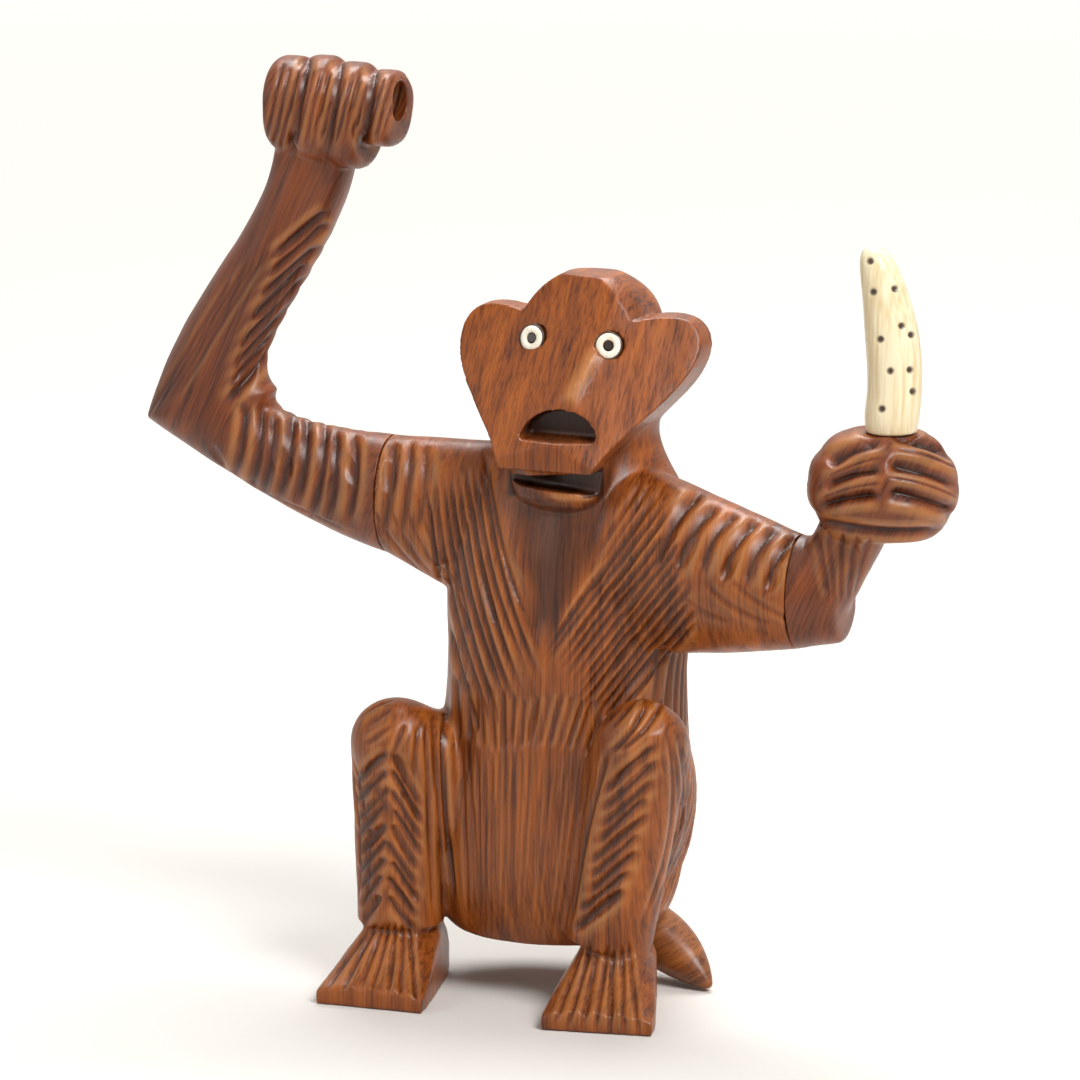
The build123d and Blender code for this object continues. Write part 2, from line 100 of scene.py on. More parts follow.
def smooth_step(values: np.ndarray, low: float, high: float) -> np.ndarray:
    """Rises smoothly from 0 where a value is low to 1 where it is high."""
    t = np.clip((values - low) / (high - low), 0.0, 1.0)
    return t * t * (3.0 - 2.0 * t)


def read(mesh: Mesh, what: str = "co") -> np.ndarray:
    """Reads a mesh's points, or its normals where normal is asked for, one to a row."""
    flat = np.empty(len(mesh.vertices) * 3)
    mesh.vertices.foreach_get(what, flat)
    return flat.reshape(-1, 3)


def mapped(source: Pair, target: Pair) -> dict[str, float]:
    """Gives a Map Range node's settings, from the ends of the source to those of the target."""
    return dict(zip(("From Min", "From Max", "To Min", "To Max"), (*source, *target)))


def add_node(tree: NodeTree, kind: str, settings: dict, links: dict) -> Node:
    """Adds one node with its settings and its incoming links.

    Args:
        tree: the node tree.
        kind: the node's type name.
        settings: properties by name, values by the name or number of their socket, and under stops
            the places and hex colours of a colour ramp, from the lowest up.
        links: output sockets by the name or number of the input that they feed.

    Returns:
        The new node.
    """
    node = tree.nodes.new(kind)
    for name, value in settings.items():
        if name == "stops":
            elements = node.color_ramp.elements
            while len(elements) < len(value):
                elements.new(0.5)
            for element, (place, colour) in zip(elements, value):
                element.position = place
                element.color = linear(colour)
        elif isinstance(name, str) and hasattr(node, name):
            setattr(node, name, value)
        else:
            node.inputs[name].default_value = value
    for name, socket in links.items():
        tree.links.new(socket, node.inputs[name])
    return node


def new_material(name: str) -> tuple[Material, Node]:
    """Makes an empty material, and gives it and its shader node."""
    material = bpy.data.materials.new(name)
    material.use_nodes = True
    shader = next(n for n in material.node_tree.nodes if n.type == "BSDF_PRINCIPLED")
    return material, shader


@dataclass(frozen=True)
class WoodFinish:
    """Rosewood, carved with gouges, sanded on the flats and waxed: streaked, with fine dark pores, painted
    shade in its hollows and painted highlight with wear on its ridges.
    """

    name: str
    light: str
    middle: str
    dark: str
    # Colours of the painted shade in hollows, and of the painted highlight with wear on ridges
    hollow: str
    ridge: str = "#c98a4e"
    pore: str = "#2a100a"
    grain: Grain = Grain.UPRIGHT
    # Width and length of a streak, of a fine fibre and of a pore
    streak_mm: Pair = (2.2, 30.0)
    fibre_mm: Pair = (0.42, 15.0)
    # Real pores are under 0.1 mm wide, drawn coarser so that they show
    pore_mm: Pair = (0.32, 6.0)
    # Finer layers in the noise of the three, how rough it is and how far it wavers
    details: Triple = (3.0, 2.0, 1.0)
    noise_roughness: float = 0.6
    distortion: float = 0.3
    # How much wider the pattern is from front to back than from side to side, as in a flat sawn board
    board_share: float = 4.0
    # Levels of the noise where streaks are dark, middling and light, fibres dark and light, and
    # pores start and are full
    streak_levels: Triple = (0.32, 0.46, 0.66)
    fibre_levels: Pair = (0.34, 0.54)
    pore_levels: Pair = (0.60, 0.72)
    # How far each layer covers the one under it, the last two being painted shade and painted highlight
    # with wear
    fibre_share: float = 0.40
    pore_share: float = 0.42
    painted_shade_share: float = 0.90
    ridge_wear_and_highlight_share: float = 0.42
    # Roughness over dark and over light fibres, between these levels
    roughness: Pair = (0.32, 0.50)
    roughness_levels: Pair = (0.3, 0.7)
    specular: float = 0.36
    wax: float = 0.12
    wax_roughness: float = 0.22
    relief_mm: float = 0.06
    relief_strength: float = 0.55

    def material(self) -> Material:
        """Builds the material on Object coordinates.

        Returns:
            The finished material.
        """
        material, shader = new_material(self.name)
        tree = material.node_tree
        place = add_node(tree, "ShaderNodeTexCoord", {}, {}).outputs["Object"]
        turn = {"Rotation": (0.0, math.radians(-self.grain.value), 0.0)}
        turned = add_node(tree, "ShaderNodeMapping", turn, {"Vector": place}).outputs["Vector"]
        sizes = zip((self.streak_mm, self.fibre_mm, self.pore_mm), self.details)
        streaks, fibres, pores = (self.pattern(tree, turned, *size) for size in sizes)
        stops = tuple(zip(self.streak_levels, (self.dark, self.middle, self.light)))
        colour = add_node(tree, "ShaderNodeValToRGB", {"stops": stops}, {"Fac": streaks}).outputs["Color"]
        stops = tuple(zip(self.fibre_levels, (self.dark, self.light)))
        fine = add_node(tree, "ShaderNodeValToRGB", {"stops": stops}, {"Fac": fibres}).outputs["Color"]
        shares = {"data_type": "RGBA", SHARE: self.fibre_share}
        colour = add_node(tree, "ShaderNodeMix", shares, {FIRST: colour, SECOND: fine}).outputs[MIXED]
        # Pores, then painted shade in hollows and painted highlight with wear on ridges, read from the
        # attribute
        cut = add_node(tree, "ShaderNodeAttribute", {"attribute_name": SPOTS_AND_PAINTED_LIGHT}, {}).outputs["Fac"]
        layers = (
            (pores, self.pore_levels, self.pore_share, self.pore),
            (cut, (PLAIN, 1.0), self.painted_shade_share, self.hollow),
            (cut, (PLAIN, 0.0), self.ridge_wear_and_highlight_share, self.ridge),
        )
        for value, levels, share, tint in layers:
            settings = mapped(levels, (0.0, share))
            cover = add_node(tree, "ShaderNodeMapRange", settings, {"Value": value}).outputs["Result"]
            paint = {"data_type": "RGBA", SECOND: linear(tint)}
            colour = add_node(tree, "ShaderNodeMix", paint, {SHARE: cover, FIRST: colour}).outputs[MIXED]
        tree.links.new(colour, shader.inputs["Base Color"])
        settings = mapped(self.roughness_levels, self.roughness)
        dullness = add_node(tree, "ShaderNodeMapRange", settings, {"Value": fibres}).outputs["Result"]
        tree.links.new(dullness, shader.inputs["Roughness"])
        relief = {"Strength": self.relief_strength, "Distance": self.relief_mm * MM}
        bump = add_node(tree, "ShaderNodeBump", relief, {"Height": fibres}).outputs["Normal"]
        tree.links.new(bump, shader.inputs["Normal"])
        shader.inputs["Specular IOR Level"].default_value = self.specular
        shader.inputs["Coat Weight"].default_value = self.wax
        shader.inputs["Coat Roughness"].default_value = self.wax_roughness
        return material

    def pattern(self, tree: NodeTree, place: NodeSocket, size_mm: Pair, detail: float) -> NodeSocket:
        """Adds noise stretched along the grain.

        Args:
            tree: the node tree.
            place: coordinates with the grain along Z.
            size_mm: width and length of the pattern.
            detail: how many finer layers the noise has.

        Returns:
            The noise value's socket.
        """
        across, along = (1.0 / (size * MM) for size in size_mm)
        stretch = {"Scale": (across, across / self.board_share, along)}
        scaled = add_node(tree, "ShaderNodeMapping", stretch, {"Vector": place}).outputs["Vector"]
        uneven = {"Scale": 1.0, "Detail": detail, "Roughness": self.noise_roughness}
        uneven["Distortion"] = self.distortion
        return add_node(tree, "ShaderNodeTexNoise", uneven, {"Vector": scaled}).outputs["Fac"]


@dataclass(frozen=True)
class BoneFinish:
    """Polished bone: cream with faint streaks along it, dark where it was drilled, and dark on an eye
    ring's glue line as painted shade of its gap.
    """

    name: str
    light: str
    dark: str
    # Dark of the banana's drilled spots, their own colour; on an eye ring it is painted on the glue line as
    # the shade of the gap
    drilled: str
    streak_mm: Pair = (0.9, 14.0)
    detail: float = 3.0
    noise_roughness: float = 0.55
    # Levels of the noise where streaks are dark and light
    streak_levels: Pair = (0.34, 0.60)
    roughness: float = 0.34
    polish: float = 0.25
    relief_mm: float = 0.04
    relief_strength: float = 0.35
    # Bone lets a little light through, red the farthest
    glow: float = 0.06
    glow_reach: Triple = (0.002, 0.0015, 0.001)

    def material(self) -> Material:
        """Builds the material on Object coordinates.

        Returns:
            The finished material.
        """
        material, shader = new_material(self.name)
        tree = material.node_tree
        place = add_node(tree, "ShaderNodeTexCoord", {}, {}).outputs["Object"]
        across, along = (1.0 / (size * MM) for size in self.streak_mm)
        stretch = {"Scale": (across, across, along)}
        scaled = add_node(tree, "ShaderNodeMapping", stretch, {"Vector": place}).outputs["Vector"]
        uneven = {"Scale": 1.0, "Detail": self.detail, "Roughness": self.noise_roughness}
        streaks = add_node(tree, "ShaderNodeTexNoise", uneven, {"Vector": scaled}).outputs["Fac"]
        stops = tuple(zip(self.streak_levels, (self.dark, self.light)))
        colour = add_node(tree, "ShaderNodeValToRGB", {"stops": stops}, {"Fac": streaks}).outputs["Color"]
        # The dark colour where the attribute is high: the banana's own spots, and the painted shade of an
        # eye ring's gap
        cut = add_node(tree, "ShaderNodeAttribute", {"attribute_name": SPOTS_AND_PAINTED_LIGHT}, {}).outputs["Fac"]
        settings = mapped((PLAIN, 1.0), (0.0, 1.0))
        cover = add_node(tree, "ShaderNodeMapRange", settings, {"Value": cut}).outputs["Result"]
        paint = {"data_type": "RGBA", SECOND: linear(self.drilled)}
        colour = add_node(tree, "ShaderNodeMix", paint, {SHARE: cover, FIRST: colour}).outputs[MIXED]
        tree.links.new(colour, shader.inputs["Base Color"])
        relief = {"Strength": self.relief_strength, "Distance": self.relief_mm * MM}
        bump = add_node(tree, "ShaderNodeBump", relief, {"Height": streaks}).outputs["Normal"]
        tree.links.new(bump, shader.inputs["Normal"])
        shader.inputs["Roughness"].default_value = self.roughness
        shader.inputs["Coat Weight"].default_value = self.polish
        shader.inputs["Subsurface Weight"].default_value = self.glow
        shader.inputs["Subsurface Radius"].default_value = self.glow_reach
        return material


@dataclass(frozen=True)
class View:
    """A side that strokes are cut from, by its turn to the figure's left and its height."""

    azimuth: float
    elevation: float = 0.0

    def axes(self) -> tuple[np.ndarray, np.ndarray, np.ndarray]:
        """Gives the side's directions.

        Returns:
            The directions to the right, up and towards the carver.
        """
        turn, rise = math.radians(self.azimuth), math.radians(self.elevation)
        right = np.array((math.cos(turn), math.sin(turn), 0.0))
        level = math.cos(rise)
        toward = np.array((math.sin(turn) * level, -math.cos(turn) * level, math.sin(rise)))
        return right, np.cross(toward, right), toward

    def flat(self, points: np.ndarray) -> np.ndarray:
        """Gives the points' places in the plane of this side, across and up."""
        right, up, _ = self.axes()
        return np.stack((points @ right, points @ up), axis=1)


# The photographed side, and the sides that it doesn't show
FRONT = View(22.0, 12.5)
FRONT_REVERSE = View(202.0, -12.5)
BACK = View(180.0)
LEFT = View(100.0)
RIGHT = View(-68.0)


@dataclass(frozen=True)
class Hand:
    """How far a hand strays from the strokes that were meant."""

    # To the side, as a share of the stroke's width
    aside: float = 0.13
    # How much longer or shorter either end is, how much wider or narrower, deeper or shallower
    ends: Pair = (-0.05, 0.06)
    width: Pair = (0.9, 1.15)
    depth: Pair = (0.8, 1.15)


@dataclass(frozen=True)
class Gouge:
    """What a gouge leaves: the cross section and the ends of a stroke."""

    # A point is cut as far as it faces the carver, from nothing to fully
    facing: Pair = (0.02, 0.35)
    # How softly the strokes stop at their nearest and farthest points
    near_edge_mm: float = 1.0
    far_edge_mm: float = 1.5
    # Where a stroke starts and ends, as shares of its length, and how far beyond it is looked at
    start: Pair = (-0.05, 0.12)
    end: Pair = (0.80, 1.04)
    beyond: float = 0.1
    # Half width of the hollow, and of the band beside it that gets painted highlight with wear, as shares
    cut_share: float = 0.58
    wear_and_highlight_share: float = 0.85
    cut_power: float = 1.5
    shade_power: float = 2.6
    # A stroke of this depth gets the darkest painted shade
    full_depth_mm: float = 0.75
    # How quickly the painted shade of a hollow hides the painted highlight with wear on the ridge beside it
    hides: float = 1.6


@dataclass(frozen=True)
class Bead:
    """Cross section and ends of a raised ridge, and how strongly it gets painted highlight."""

    half_width_mm: float
    height_mm: float
    facing: Pair = (0.1, 0.4)
    start: Pair = (-0.15, 0.25)
    end: Pair = (0.85, 1.02)
    # How strongly the ridge gets painted highlight
    wear_and_highlight: float = 1.6


@dataclass(frozen=True)
class Drill:
    """A shallow round dimple, with its soft edge as shares of its radius."""

    radius_mm: float
    depth_mm: float
    edge: Pair = (0.55, 1.1)
    facing: float = 0.1


HAND = Hand()
GOUGE = Gouge()


@dataclass(frozen=True)
class Strokes:
    """Gouge strokes side by side, from a first to a last, each given by where it starts and ends."""

    first: Line
    last: Line
    count: int
    width_mm: float
    depth_mm: float
    bow_mm: float = 0.0
    # Only points between these are cut, measured towards the carver, so that what lies behind or in
    # front stays whole
    nearest_mm: float = -99.0
    farthest_mm: float = 99.0
    wander: float = 1.0
    view: View = FRONT

    def lines(self, dice: random.Random) -> list[tuple[np.ndarray, np.ndarray, float, float]]:
        """Lists the strokes, each a little off its place as a hand cuts them.

        Args:
            dice: the seeded source of chance.

        Returns:
            Start, end, width and depth of each stroke.
        """
        found = []
        off = HAND.aside * self.width_mm * self.wander
        for index in range(self.count):
            t = index / max(self.count - 1, 1)
            meant = (a + (b - a) * t + dice.uniform(-off, off) for a, b in zip(self.first, self.last))
            start, end = np.array(tuple(meant)).reshape(2, 2)
            run = (end - start) * self.wander
            start, end = start + run * dice.uniform(*HAND.ends), end - run * dice.uniform(*HAND.ends)
            width = self.width_mm * dice.uniform(*HAND.width)
            found.append((start, end, width, self.depth_mm * dice.uniform(*HAND.depth)))
        return found


class Carving:
    """A piece's points while it is carved, in millimetres from the middle of the feet."""

    def __init__(self, piece: Object) -> None:
        """Reads the points and normals of the object to carve."""
        self.mesh = piece.data
        self.points = read(self.mesh) / MM - FEET_MIDDLE_MM
        self.normals = read(self.mesh, "normal")
        # How deep each point is cut, how dark its painted shade is, and its painted highlight with wear
        # beside a cut
        self.cut, self.shade, self.wear_and_highlight = np.zeros((3, len(self.points)))

    def strokes(self, family: Strokes, dice: random.Random) -> None:
        """Cuts one family of strokes: hollows with round shoulders and tapered ends, with painted shade in
        them and painted highlight with wear beside them.

        Args:
            family: the strokes.
            dice: the seeded source of chance.
        """
        toward = family.view.axes()[2]
        near = self.points @ toward
        facing = smooth_step(self.normals @ toward, *GOUGE.facing)
        edge, place = GOUGE.near_edge_mm, family.nearest_mm
        facing = facing * smooth_step(near, place - edge, place + edge)
        edge, place = GOUGE.far_edge_mm, family.farthest_mm
        facing = facing * (1.0 - smooth_step(near, place - edge, place + edge))
        seen = np.flatnonzero(facing > 0.0)
        flat = family.view.flat(self.points[seen])
        for start, end, width, depth in family.lines(dice):
            run = end - start
            length = float(np.linalg.norm(run))
            along = run / length
            away = flat - start
            t = away @ along / length
            close = np.flatnonzero((t > -GOUGE.beyond) & (t < 1.0 + GOUGE.beyond))
            t, here = t[close], seen[close]
            side = away[close] @ np.array((-along[1], along[0]))
            offset = side - family.bow_mm * 4.0 * t * (1.0 - t)
            taper = smooth_step(t, *GOUGE.start) * (1.0 - smooth_step(t, *GOUGE.end)) * facing[here]
            reach = np.clip(1.0 - abs(offset) / (width * GOUGE.cut_share), 0.0, 1.0)
            beside = np.clip(1.0 - (offset / (width * GOUGE.wear_and_highlight_share)) ** 4, 0.0, 1.0)
            strength = min(depth / GOUGE.full_depth_mm, 1.0)
            # The cut, the painted shade in the hollow and the painted highlight with wear beside it
            for sums, added in (
                (self.cut, depth * reach**GOUGE.cut_power * taper),
                (self.shade, strength * reach**GOUGE.shade_power * taper),
                (self.wear_and_highlight, strength * beside * taper),
            ):
                sums[here] = np.maximum(sums[here], added)

    def ridge(self, view: View, line: Line, bead: Bead) -> None:
        """Leaves a raised ridge along a line, lightened with painted highlight.

        Args:
            view: the side that it is carved from.
            line: where it starts and ends.
            bead: how wide and how high it stands.
        """
        start = np.array(line[:2])
        run = np.array(line[2:]) - start
        length = float(np.linalg.norm(run))
        along = run / length
        away = view.flat(self.points) - start
        t = away @ along / length
        offset = abs(away @ np.array((-along[1], along[0])))
        facing = smooth_step(self.normals @ view.axes()[2], *bead.facing)
        taper = smooth_step(t, *bead.start) * (1.0 - smooth_step(t, *bead.end)) * facing
        reach = np.clip(1.0 - offset / bead.half_width_mm, 0.0, 1.0)
        self.cut = self.cut - bead.height_mm * reach * taper
        # Painted highlight along the ridge
        self.wear_and_highlight = np.maximum(self.wear_and_highlight, np.clip(reach * bead.wear_and_highlight, 0.0, 1.0) * taper)

    def dimple(self, view: View, middle: Pair, drill: Drill) -> None:
        """Drills one shallow round dimple.

        Args:
            view: the side that it is drilled from.
            middle: its place in the plane of that side.
            drill: how wide and how deep it is.
        """
        facing = self.normals @ view.axes()[2] > drill.facing
        gap = np.linalg.norm(view.flat(self.points) - np.array(middle), axis=1)
        inside = 1.0 - smooth_step(gap, *(drill.radius_mm * share for share in drill.edge))
        self.cut = np.maximum(self.cut, drill.depth_mm * inside * facing)
        # Darkens the dimple with the banana spot's own dark colour
        self.darken(inside * facing)

    def darken(self, shade: np.ndarray) -> None:
        """Darkens the points to the given shade, where they aren't darker yet: painted shade, and on the
        banana its spots' own dark colour.
        """
        self.shade = np.maximum(self.shade, shade)

    def chips(self, size_mm: float, depth_mm: float) -> None:
        """Makes the surface a little uneven, as knife work leaves it.

        Args:
            size_mm: size of one shallow chip.
            depth_mm: how deep the chips go.
        """
        uneven = np.array([noise.noise(Vector(p / size_mm)) for p in self.points])
        self.points -= self.normals * ((uneven + 1.0) * 0.5 * depth_mm)[:, None]

    def place(self) -> None:
        """Writes the points back."""
        placed = (self.points + FEET_MIDDLE_MM) * MM
        self.mesh.vertices.foreach_set("co", placed.ravel())
        self.mesh.update()

    def finish(self) -> None:
        """Writes the carved points back, with the painted shade and highlight as an attribute."""
        self.points -= self.normals * self.cut[:, None]
        self.place()
        attribute = self.mesh.attributes.new(SPOTS_AND_PAINTED_LIGHT, "FLOAT", "POINT")
        # Painted highlight with wear beside the cuts, where the painted shade doesn't hide it
        ridges = self.wear_and_highlight * (1.0 - np.clip(self.shade * GOUGE.hides, 0.0, 1.0)) ** 2
        attribute.data.foreach_set("value", PLAIN + (1.0 - PLAIN) * self.shade - PLAIN * ridges)


def skin(name: str, node: str, voxel_mm: float, plugs: tuple = ()) -> Object:
    """Makes one even skin round a copy of a CAD node.

    Args:
        name: name of the new object.
        node: the CAD node that it copies.
        voxel_mm: spacing of the skin's points.
        plugs: balls that level hollows of the copy, each a place seen from the front and a radius.

    Returns:
        The new object, linked to the scene.
    """
    shape = bmesh.new()
    shape.from_mesh(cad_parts[node].data)
    bmesh.ops.remove_doubles(shape, verts=shape.verts, dist=WELD_MM * MM)
    right, up, toward = FRONT.axes()
    for across, height, near, radius in plugs:
        ball = bmesh.ops.create_icosphere(shape, subdivisions=BALL_SPLITS, radius=radius * MM)
        place = right * across + up * height + toward * near + FEET_MIDDLE_MM
        bmesh.ops.translate(shape, verts=ball["verts"], vec=Vector(place) * MM)
    piece = link_shape(name, shape)
    remesh = piece.modifiers.new("Skin", "REMESH")
    remesh.mode = "VOXEL"
    remesh.voxel_size = voxel_mm * MM
    remesh.use_smooth_shade = True
    bake(piece)
    return piece


def link_shape(name: str, shape: bmesh.types.BMesh) -> Object:
    """Turns a finished shape into an object and frees it.

    Args:
        name: name of the new object and its mesh.
        shape: the shape.

    Returns:
        The new object, linked to the scene.
    """
    mesh = bpy.data.meshes.new(name)
    shape.to_mesh(mesh)
    shape.free()
    piece = bpy.data.objects.new(name, mesh)
    bpy.context.scene.collection.objects.link(piece)
    return piece


def bake(piece: Object) -> None:
    """Applies the piece's modifiers."""
    graph = bpy.context.evaluated_depsgraph_get()
    done = bpy.data.meshes.new_from_object(piece.evaluated_get(graph))
    piece.modifiers.clear()
    piece.data = done


def thin_out(piece: Object, most_faces: int) -> None:
    """Takes points away where the surface is even, until the piece has few enough triangles."""
    faces = sum(len(polygon.vertices) - 2 for polygon in piece.data.polygons)
    if faces > most_faces:
        thinned = piece.modifiers.new("Thin", "DECIMATE")
        thinned.ratio = most_faces / faces
        bake(piece)


@dataclass
class Piece:
    """A visible piece that takes the place of a CAD node and rides on a body."""

    name: str
    node: str
    body: str
    slot: str
    finish: WoodFinish | BoneFinish

    def dress(self, piece: Object) -> Object:
        """Gives the piece its finish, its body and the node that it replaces.

        Args:
            piece: the finished shape.

        Returns:
            The same object.
        """
        for polygon in piece.data.polygons:
            polygon.use_smooth = True
        piece.data.materials.clear()
        piece.data.materials.append(self.finish.material())
        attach(piece, self.body)
        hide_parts(self.node)
        log.info("%s: %d points, %d faces", self.name, len(piece.data.vertices), len(piece.data.polygons))
        return piece


@dataclass
class CarvedPiece(Piece):
    """A wooden piece: an even skin over its CAD node, eased at its edges and carved with strokes."""

    voxel_mm: float = 0.45
    chip_mm: Pair = (5.0, 0.16)
    most_faces: int = 190000
    seed: int = 1
    families: tuple[Strokes, ...] = ()
    # Balls that level hollows under the skin: across, height and nearness from the front, and radius
    plugs: tuple[Line, ...] = ()
    plain_rounds: int = 4
    ease_factor: float = 0.5

    def rounds(self, points: np.ndarray) -> np.ndarray:
        """Says how many rounds of easing each point gets, more where the wood is rounder.

        Args:
            points: the points, in millimetres from the middle of the feet.

        Returns:
            The number of rounds for each point.
        """
        return np.full(len(points), self.plain_rounds)

    def ease(self, piece: Object) -> None:
        """Rounds the skinned piece's edges by smoothing its points."""
        wanted = self.rounds(Carving(piece).points).astype(int)
        for number in sorted(set(wanted.tolist()) - {0}):
            group = piece.vertex_groups.new(name=f"ease_{number}")
            group.add(np.flatnonzero(wanted == number).tolist(), 1.0, "REPLACE")
            smooth = piece.modifiers.new(group.name, "SMOOTH")
            smooth.factor = self.ease_factor
            smooth.iterations = number
            smooth.vertex_group = group.name
        bake(piece)
        piece.vertex_groups.clear()

    def details(self, carving: Carving) -> None:
        """Cuts what isn't a family of strokes; a plain piece has none."""

    def build(self) -> Object:
        """Builds, carves and dresses the piece.

        Returns:
            The finished object.
        """
        piece = skin(self.name, self.node, self.voxel_mm, self.plugs)
        self.ease(piece)
        carving = Carving(piece)
        dice = random.Random(self.seed)
        carving.chips(*self.chip_mm)
        for family in self.families:
            carving.strokes(family, dice)
        self.details(carving)
        carving.finish()
        thin_out(piece, self.most_faces)
        return self.dress(piece)


TRUNK_FAMILIES = (
    # Chest, two fans of long strokes that meet in a V on the breast
    Strokes((-15, 78.8, -6.6, 40.4), (-5.6, 82, 3, 50.6), 9, 1.7, 0.8, -1.5, farthest_mm=20.5),
    Strokes((20.2, 76.6, 3, 52.6), (26.3, 57.7, 12.7, 41), 13, 1.8, 0.8),
    Strokes((18, 79, 10, 66), (21, 77.4, 12, 64), 3, 1.3, 0.40),
    # Hollow of the throat between the fans
    Strokes((4.2, 80, 1.8, 54), (4.2, 80, 1.8, 54), 1, 9, 1.3, wander=0, farthest_mm=20.5),
    # Fringe of short strokes where the chest ends above the belly
    Strokes((-12.4, 49, -11.8, 38.6), (-3.6, 46.6, -3, 37.4), 6, 1.7, 0.55),
    Strokes((-1.6, 46, -2.2, 37.6), (12.6, 46, 9.4, 37.6), 9, 1.5, 0.50),
    # Belly, fine upright strokes that close in towards the seat
    Strokes((-9.6, 37.4, -8.4, 8.4), (11.2, 37.4, 6.6, 7.4), 19, 1.15, 0.30),
    Strokes((-8, 30, -7, 12), (8.6, 33, 5.6, 11), 6, 1.5, 0.38),
    # Right leg: strokes that meet in a ridge down the shin, and the line between thigh and belly
    Strokes((-20.8, 37.2, -26.2, 31.9), (-21.9, 15.3, -25.4, 10.6), 9, 2.5, 0.80, nearest_mm=1),
    Strokes((-20, 37.2, -15.4, 28.9), (-21.3, 15.3, -16.8, 9), 9, 2.3, 0.80, nearest_mm=1),
    Strokes((-20.4, 41.4, -24.4, 38.4), (-14, 42, -13.2, 30), 4, 1.4, 0.45, nearest_mm=1),
    Strokes((-12.2, 43, -10.6, 12), (-12.2, 43, -10.6, 12), 1, 1.6, 0.8, -0.6, wander=0),
    Strokes((-15, 40.4, -13.8, 10), (-13.6, 41, -12.2, 9), 2, 1.3, 0.45),
    # Left leg: slanting strokes down the shin, and the line between it and the belly
    Strokes((12.6, 31.6, 20.6, 39), (7.8, 10.2, 15.6, 17), 9, 2.5, 0.90, nearest_mm=2),
    Strokes((18.5, 45, 12.4, 37.2), (20.6, 45, 14.4, 38), 2, 1.5, 0.7, 0.6),
    Strokes((12.6, 37.6, 6.9, 10), (12.6, 37.6, 6.9, 10), 1, 1.6, 0.8, -0.8, wander=0),
    # Haunch, long strokes that follow its round
    Strokes((21.6, 41.4, 18, 12.1), (25.6, 36.2, 23.4, 18.3), 6, 1.5, 0.55, 2.6),
    # Left upper arm, curved strokes across it
    Strokes((26.4, 76.8, 19.6, 64.6), (41.6, 70.8, 36.4, 61.6), 6, 3.1, 1.00, -1.2),
    Strokes((23, 62.6, 31, 57), (31, 64, 41, 57.6), 3, 1.6, 0.25, -0.8),
    # Right shoulder, out to the joint
    Strokes((-22.6, 86, -24.4, 71), (-14.8, 84.4, -16.4, 70), 4, 2.7, 0.70, 0.4),
    Strokes((-23, 74, -15, 64), (-17, 78, -10, 62), 4, 1.3, 0.35, -0.8, farthest_mm=14),
    # Feet, strokes that fan out to the toes
    Strokes((-23.6, 10.4, -30.4, 1), (-17.9, 10.9, -16.4, -1.2), 7, 1.3, 0.60),
    Strokes((8.9, 7.8, 4.4, -4), (16.1, 7.8, 17.2, -5), 7, 1.3, 0.60),
    # Back, long strokes from the neck to the seat
    Strokes((-17, 78, -5, 22), (-1, 84, -0.5, 16), 10, 1.9, 0.55, -1.2, view=BACK),
    Strokes((17, 78, 5, 22), (1, 84, 0.5, 16), 10, 1.9, 0.55, 1.2, view=BACK),
    Strokes((-14, 22, -8, 10), (14, 22, 8, 10), 14, 1.7, 0.4, view=BACK),
    Strokes((-40, 70, -38, 60), (-22, 78, -20, 58), 10, 2.1, 0.65, view=BACK),
    # Flanks and the outer sides of the legs
    Strokes((-4, 60, -2, 42), (16, 60, 20, 40), 12, 1.8, 0.45, nearest_mm=9, view=RIGHT),
    Strokes((-12, 38, -10, 12), (14, 34, 10, 14), 12, 1.8, 0.5, 2, nearest_mm=15, view=RIGHT),
    Strokes((-10, 42, -6, 12), (14, 36, 10, 14), 12, 1.8, 0.5, 2, nearest_mm=15, view=LEFT),
    Strokes((0, 58, -2, 40), (20, 62, 18, 40), 11, 1.8, 0.45, nearest_mm=12, view=LEFT),
)

ARM_FAMILIES = (
    # Upper arm, strokes across its top and faint ones along its underside
    Strokes((-43, 91, -45.6, 77.6), (-26.2, 86.8, -27.8, 71.6), 8, 2.9, 0.80, 0.5),
    Strokes((-54, 83, -25, 70.4), (-50, 79, -25, 65.8), 4, 1.2, 0.25),
    # Forearm, long slanting strokes
    Strokes((-29.7, 120.1, -38.4, 113.2), (-36, 102.4, -47.2, 89.4), 8, 2.5, 0.85),
    Strokes((-40, 113, -55, 90), (-45, 110, -60, 87), 4, 1.3, 0.35),
    # Fist, a deep groove between each two fingers and fine strokes along them
    Strokes((-32.9, 143.6, -35.6, 128.6), (-22.5, 142, -24.6, 128.6), 3, 2.6, 1, wander=0.3),
    Strokes((-36.8, 141.8, -39.6, 129.6), (-18.6, 140, -21.5, 130.2), 16, 1.05, 0.38),
    # Back of the arm
    Strokes((27, 84, 27, 68), (54, 90, 50, 76), 12, 2.3, 0.65, view=BACK),
    Strokes((60, 101, 50, 88), (44, 124, 34, 109), 8, 2.5, 0.55, view=BACK),
    Strokes((38.6, 142, 38, 129.5), (18.6, 140, 21, 129), 14, 1.1, 0.4, view=BACK),
)

